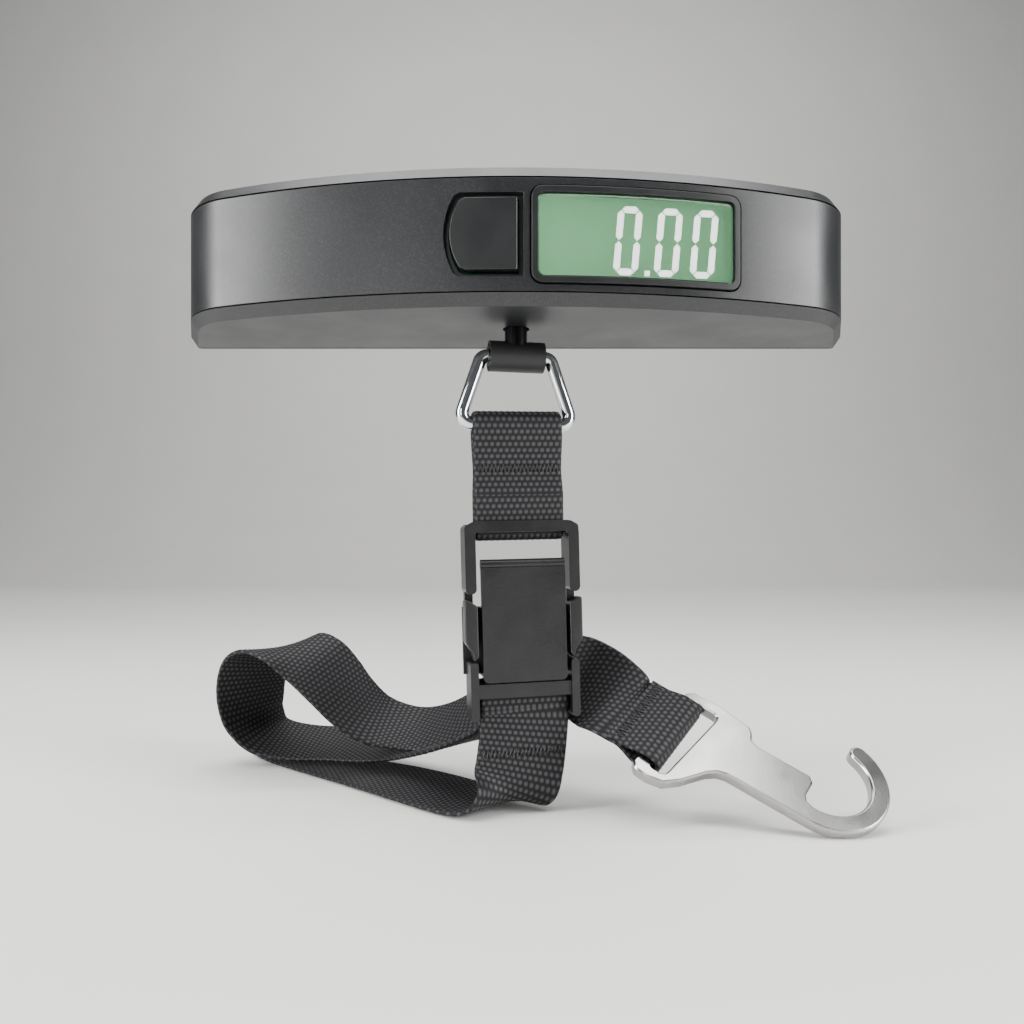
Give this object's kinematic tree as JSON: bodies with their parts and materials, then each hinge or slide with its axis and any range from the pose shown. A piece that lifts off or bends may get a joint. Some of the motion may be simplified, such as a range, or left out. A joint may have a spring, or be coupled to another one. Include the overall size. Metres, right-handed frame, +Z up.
{
  "type": "digital luggage scale",
  "caption": "Handheld digital scale with a curved housing, display and button, and a webbing strap with a quick-release buckle and a flat hook for hanging a bag",
  "frame": {"origin": "middle of the housing's flat top, where the hand takes the weight", "axes": "+X to the right of the display along the housing's length, +Y from the display to the rear cover, +Z up, against the pull of the load"},
  "size_m": [0.1616, 0.0944, 0.1366],
  "materials": {
    "housing": "charcoal ABS, satin, with a fine sparkle grain",
    "rear": "black ABS, fine moulded texture",
    "button": "black ABS, fine satin texture",
    "window": "clear acrylic, polished",
    "display": "green backlit liquid crystal display",
    "light_guide": "white diffusing acrylic",
    "board": "green solder resist",
    "resin": "black epoxy",
    "steel": "plated steel",
    "aluminium": "machined aluminium",
    "gauge_film": "amber polyimide film",
    "lead_red": "red insulated wire",
    "lead_black": "black insulated wire",
    "sleeve": "matte black sleeve",
    "ring_chrome": "polished chrome plating",
    "hook_nickel": "satin nickel plating on die-cast zinc",
    "webbing": "black woven nylon webbing",
    "buckle": "dark grey acetal, fine moulded grain"
  },
  "bodies": {
    "housing": {"front_housing": "housing", "front_fascia": "housing", "rear_cover": "rear", "battery_holder": "rear", "load_cell_block": "rear", "display_bezel": "button", "display_window": "window", "lcd_glass": "display", "backlight": "light_guide", "lcd_connector": "resin", "chip_resin": "resin", "circuit_board": "board", "tact_switch": "steel", "board_screw_1": "steel", "board_screw_2": "steel", "housing_screw_1": "steel", "housing_screw_2": "steel", "housing_screw_3": "steel", "housing_screw_4": "steel", "load_cell_screw_1": "steel", "load_cell_screw_2": "steel", "battery_contact_minus": "steel", "battery_contact_plus": "steel", "coin_cell": "steel", "battery_lead_red": "lead_red", "battery_lead_black": "lead_black", "gauge_lead": "lead_red", "strain_gauge_top": "gauge_film", "strain_gauge_bottom": "gauge_film", "load_cell": "aluminium"},
    "button": {"unit_button": "button"},
    "cap": {"battery_cap": "rear"},
    "swivel": {"load_eye": "steel", "eye_washer": "steel", "eye_nut": "steel", "eye_sleeve": "sleeve"},
    "ring": {"ring": "ring_chrome"},
    "buckle_top": {"upper_strap": "webbing", "buckle_receiver": "buckle"},
    "buckle_bottom": {"buckle_plug": "buckle", "strap_wrap": "webbing", "strap_main": "webbing", "strap_tail": "webbing", "hook_fold": "webbing"},
    "tab_left": {"release_tab_left": "buckle"},
    "tab_right": {"release_tab_right": "buckle"},
    "hook": {"hook": "hook_nickel"}
  },
  "joints": [
    {"name": "button_press", "type": "slide", "parent": "housing", "child": "button", "axis": [0, 1, 0], "range_m": [0, 0.0008], "stiffness_N_per_m": 300},
    {"name": "cap_turn", "type": "hinge", "parent": "housing", "child": "cap", "pos_m": [0.044, 0.0194, -0.01415], "axis": [0, -1, 0], "range_deg": [0, 50]},
    {"name": "eye_swivel", "type": "hinge", "parent": "housing", "child": "swivel", "pos_m": [0, 0, -0.0345], "axis": [0, 0, 1], "range_deg": [-90, 90]},
    {"name": "ring_swing", "type": "hinge", "parent": "swivel", "child": "ring", "pos_m": [0, 0, -0.0345], "axis": [0.9816, 0.1908, 0], "range_deg": [-45, 45]},
    {"name": "strap_swing", "type": "hinge", "parent": "ring", "child": "buckle_top", "pos_m": [0, 0, -0.0497], "axis": [0.9816, 0.1908, 0], "range_deg": [-30, 30]},
    {"name": "buckle_release", "type": "slide", "parent": "buckle_top", "child": "buckle_bottom", "axis": [0.0257, 0.005, -0.9997], "range_m": [0, 0.014]},
    {"name": "tab_left_squeeze", "type": "hinge", "parent": "buckle_bottom", "child": "tab_left", "pos_m": [-0.01007, -0.00196, -0.10099], "axis": [-0.1908, 0.9816, 0], "range_deg": [0, 3.5], "stiffness_Nm_per_rad": 0.3},
    {"name": "tab_right_squeeze", "type": "hinge", "parent": "buckle_bottom", "child": "tab_right", "pos_m": [0.01269, 0.00247, -0.10038], "axis": [0.1908, -0.9816, 0], "range_deg": [0, 3.5], "stiffness_Nm_per_rad": 0.3},
    {"name": "hook_pivot", "type": "hinge", "parent": "buckle_bottom", "child": "hook", "pos_m": [0.033, -0.0042, -0.118], "axis": [0.6008, 0.6183, 0.5066], "range_deg": [-15, 15]}
  ]
}
